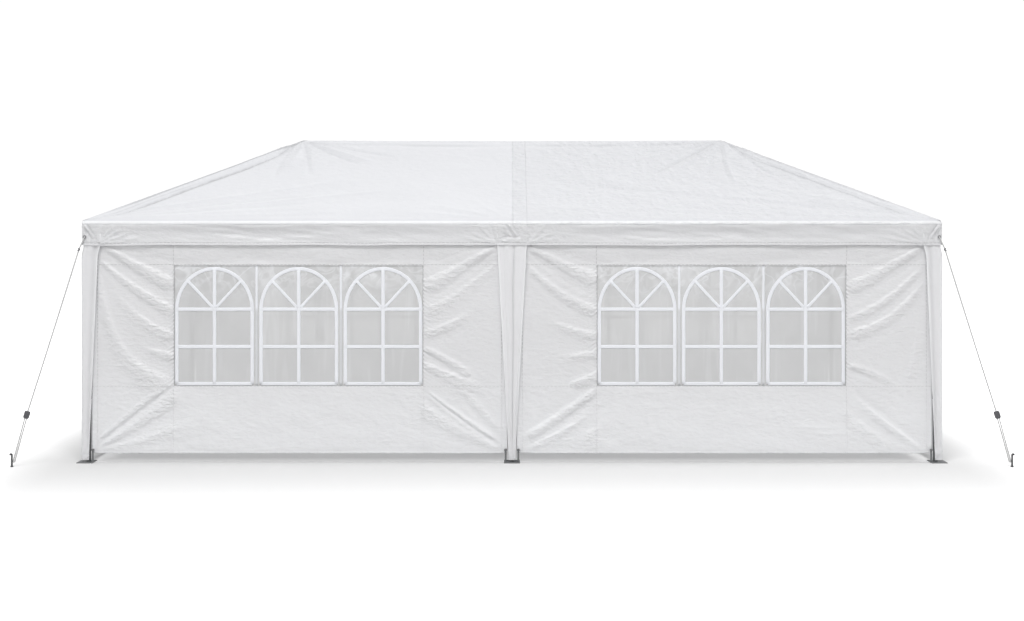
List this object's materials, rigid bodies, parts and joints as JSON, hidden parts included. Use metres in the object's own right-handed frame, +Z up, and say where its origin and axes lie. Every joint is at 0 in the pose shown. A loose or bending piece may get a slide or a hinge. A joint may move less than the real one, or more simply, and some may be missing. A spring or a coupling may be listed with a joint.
{
  "type": "marquee tent",
  "caption": "Marquee tent with a hipped cloth roof, valance, window walls, six telescopic legs on base plates, a scissor frame and guy ropes.",
  "frame": {"origin": "on the ground under the middle of the tent, at the centre of the box round tent and guy ropes", "axes": "+X along the long front to the right as seen from the front, +Y to the back, +Z up; the front faces -Y"},
  "size_m": [6.886, 3.31, 2.348],
  "materials": {
    "roof_cloth": "woven coated sheet, satin",
    "wall_cloth": "woven coated sheet, satin",
    "window_film": "clear flexible film with white bars",
    "frame_steel": "grey coating",
    "stake_steel": "dark bare steel",
    "rope": "twisted cord",
    "fitting": "moulded"
  },
  "bodies": {
    "root": {"canopy_back": "roof_cloth", "canopy_front": "roof_cloth", "canopy_left": "roof_cloth", "canopy_right": "roof_cloth", "guy_rope_back_left": "rope", "guy_rope_back_right": "rope", "guy_rope_front_left": "rope", "guy_rope_front_right": "rope", "guy_stake_back_left": "stake_steel", "guy_stake_back_right": "stake_steel", "guy_stake_front_left": "stake_steel", "guy_stake_front_right": "stake_steel", "leg_back_left": "frame_steel", "leg_back_middle": "frame_steel", "leg_back_right": "frame_steel", "leg_cover_back_left": "wall_cloth", "leg_cover_back_middle": "wall_cloth", "leg_cover_back_right": "wall_cloth", "leg_cover_front_left": "wall_cloth", "leg_cover_front_middle": "wall_cloth", "leg_cover_front_right": "wall_cloth", "leg_front_left": "frame_steel", "leg_front_middle": "frame_steel", "leg_front_right": "frame_steel", "peak_pole_left": "frame_steel", "peak_pole_right": "frame_steel", "truss_back_left": "frame_steel", "truss_back_right": "frame_steel", "truss_front_left": "frame_steel", "truss_front_right": "frame_steel", "truss_left": "frame_steel", "truss_middle": "frame_steel", "truss_peak_left": "frame_steel", "truss_peak_right": "frame_steel", "truss_right": "frame_steel", "valance_back": "roof_cloth", "valance_front": "roof_cloth", "valance_left": "roof_cloth", "valance_right": "roof_cloth", "wall_back_left": "wall_cloth", "wall_back_right": "wall_cloth", "wall_front_left": "wall_cloth", "wall_front_right": "wall_cloth", "wall_left": "wall_cloth", "wall_right": "wall_cloth", "window_back_left": "window_film", "window_back_right": "window_film", "window_front_left": "window_film", "window_front_right": "window_film", "window_left": "window_film", "window_right": "window_film"}
  },
  "joints": []
}
